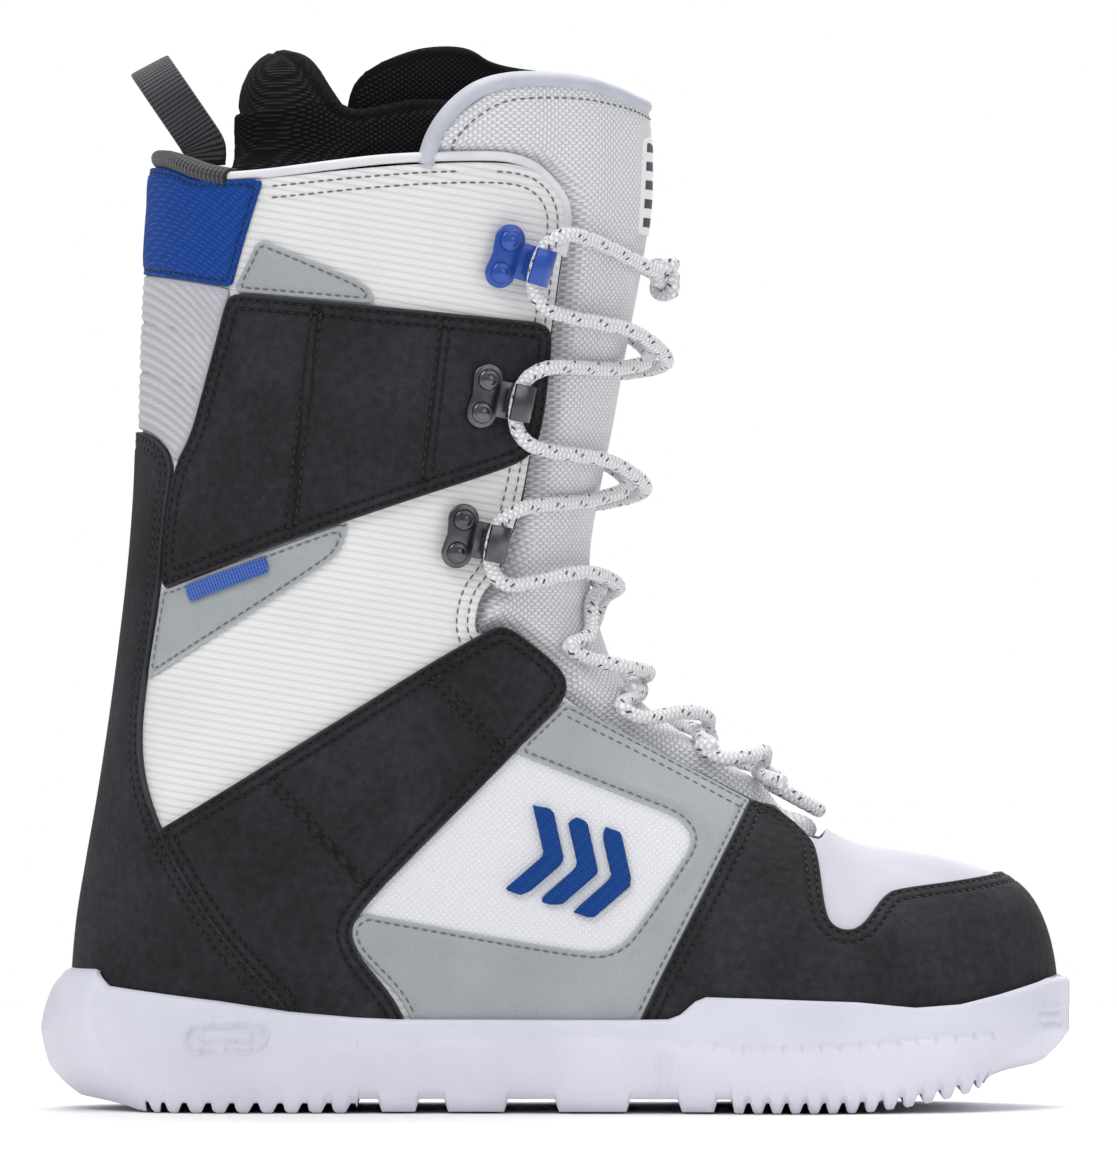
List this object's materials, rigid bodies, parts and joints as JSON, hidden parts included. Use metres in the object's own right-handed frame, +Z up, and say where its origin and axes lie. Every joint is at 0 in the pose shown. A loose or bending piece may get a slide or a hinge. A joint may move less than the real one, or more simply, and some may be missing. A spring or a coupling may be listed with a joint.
{
  "type": "snowboard boot",
  "caption": "Right-foot lace-up snowboard boot: padded shaft, tongue, removable liner, hooks, heel pull loop and a one-piece toothed foam sole.",
  "frame": {"origin": "on the floor, under the middle of the boot's bounding box", "axes": "+X towards the toe, +Y towards the medial (inner) side, +Z up along the shaft"},
  "size_m": [0.307, 0.1128, 0.3172],
  "materials": {
    "lining": "napped lining over foam",
    "board": "pressed fibre board",
    "stiffener": "thermoformed sheet",
    "quarter_textile": "fine ribbed synthetic",
    "vamp_leather": "smooth coated",
    "black_leather": "matt grained",
    "ripstop": "embossed ripstop",
    "blue_textile": "woven with short dashes",
    "grey_leather": "smooth matt",
    "window_textile": "fine ripstop",
    "emblem": "moulded badge",
    "collar_pad": "padded brushed",
    "binding_tape": "folded tape",
    "tongue_mesh": "honeycomb spacer mesh",
    "patch_print": "moulded patch",
    "liner_textile": "spacer mesh over foam",
    "footbed_foam": "covered foam",
    "sole_foam": "foam rubber",
    "hook_painted": "gloss paint",
    "hook_metal": "gunmetal plate",
    "lace_cord": "braided cord",
    "webbing": "woven webbing",
    "blue_webbing": "woven label"
  },
  "bodies": {
    "boot": {"shell_lining": "lining", "lasting_board": "board", "heel_cup": "stiffener", "toe_puff": "stiffener", "quarter_lateral": "quarter_textile", "quarter_medial": "quarter_textile", "vamp": "vamp_leather", "heel_counter": "black_leather", "toe_overlay": "black_leather", "upper_strap_lateral": "black_leather", "upper_strap_medial": "black_leather", "lower_strap_lateral": "black_leather", "lower_strap_medial": "black_leather", "achilles_panel": "ripstop", "collar_panel": "blue_textile", "upper_patch_lateral": "grey_leather", "upper_patch_medial": "grey_leather", "lower_patch_lateral": "grey_leather", "lower_patch_medial": "grey_leather", "side_overlay_lateral": "grey_leather", "side_overlay_medial": "grey_leather", "side_window_lateral": "window_textile", "side_window_medial": "window_textile", "emblem_lateral": "emblem", "emblem_medial": "emblem", "collar_roll": "collar_pad", "tongue_binding": "binding_tape", "collar_binding_lateral": "binding_tape", "collar_binding_medial": "binding_tape", "tongue": "tongue_mesh", "tongue_patch": "patch_print", "liner": "liner_textile", "liner_tongue": "liner_textile", "footbed": "footbed_foam", "sole_unit": "sole_foam", "lace_hook_lateral_1": "hook_painted", "rivet_lateral_1_upper": "hook_painted", "rivet_lateral_1_lower": "hook_painted", "lace_hook_lateral_2": "hook_metal", "rivet_lateral_2_upper": "hook_metal", "rivet_lateral_2_lower": "hook_metal", "lace_hook_lateral_3": "hook_metal", "rivet_lateral_3_upper": "hook_metal", "rivet_lateral_3_lower": "hook_metal", "lace_hook_medial_1": "hook_painted", "rivet_medial_1_upper": "hook_painted", "rivet_medial_1_lower": "hook_painted", "lace_hook_medial_2": "hook_metal", "rivet_medial_2_upper": "hook_metal", "rivet_medial_2_lower": "hook_metal", "lace_hook_medial_3": "hook_metal", "rivet_medial_3_upper": "hook_metal", "rivet_medial_3_lower": "hook_metal", "lace": "lace_cord", "lace_knot": "lace_cord"},
    "loop": {"pull_loop": "webbing"},
    "tab": {"woven_tab": "blue_webbing"}
  },
  "joints": [
    {"name": "pull_loop_hinge", "type": "hinge", "parent": "boot", "child": "loop", "pos_m": [-0.1059, -0.00196, 0.2886], "axis": [0, 1, 0], "range_deg": [-20, 22], "stiffness_Nm_per_rad": 0.01},
    {"name": "woven_tab_hinge", "type": "hinge", "parent": "boot", "child": "tab", "pos_m": [-0.09795, -0.043, 0.1609], "axis": [-0.8726, 0.3768, -0.3108], "range_deg": [0, 60], "stiffness_Nm_per_rad": 0.0004}
  ]
}
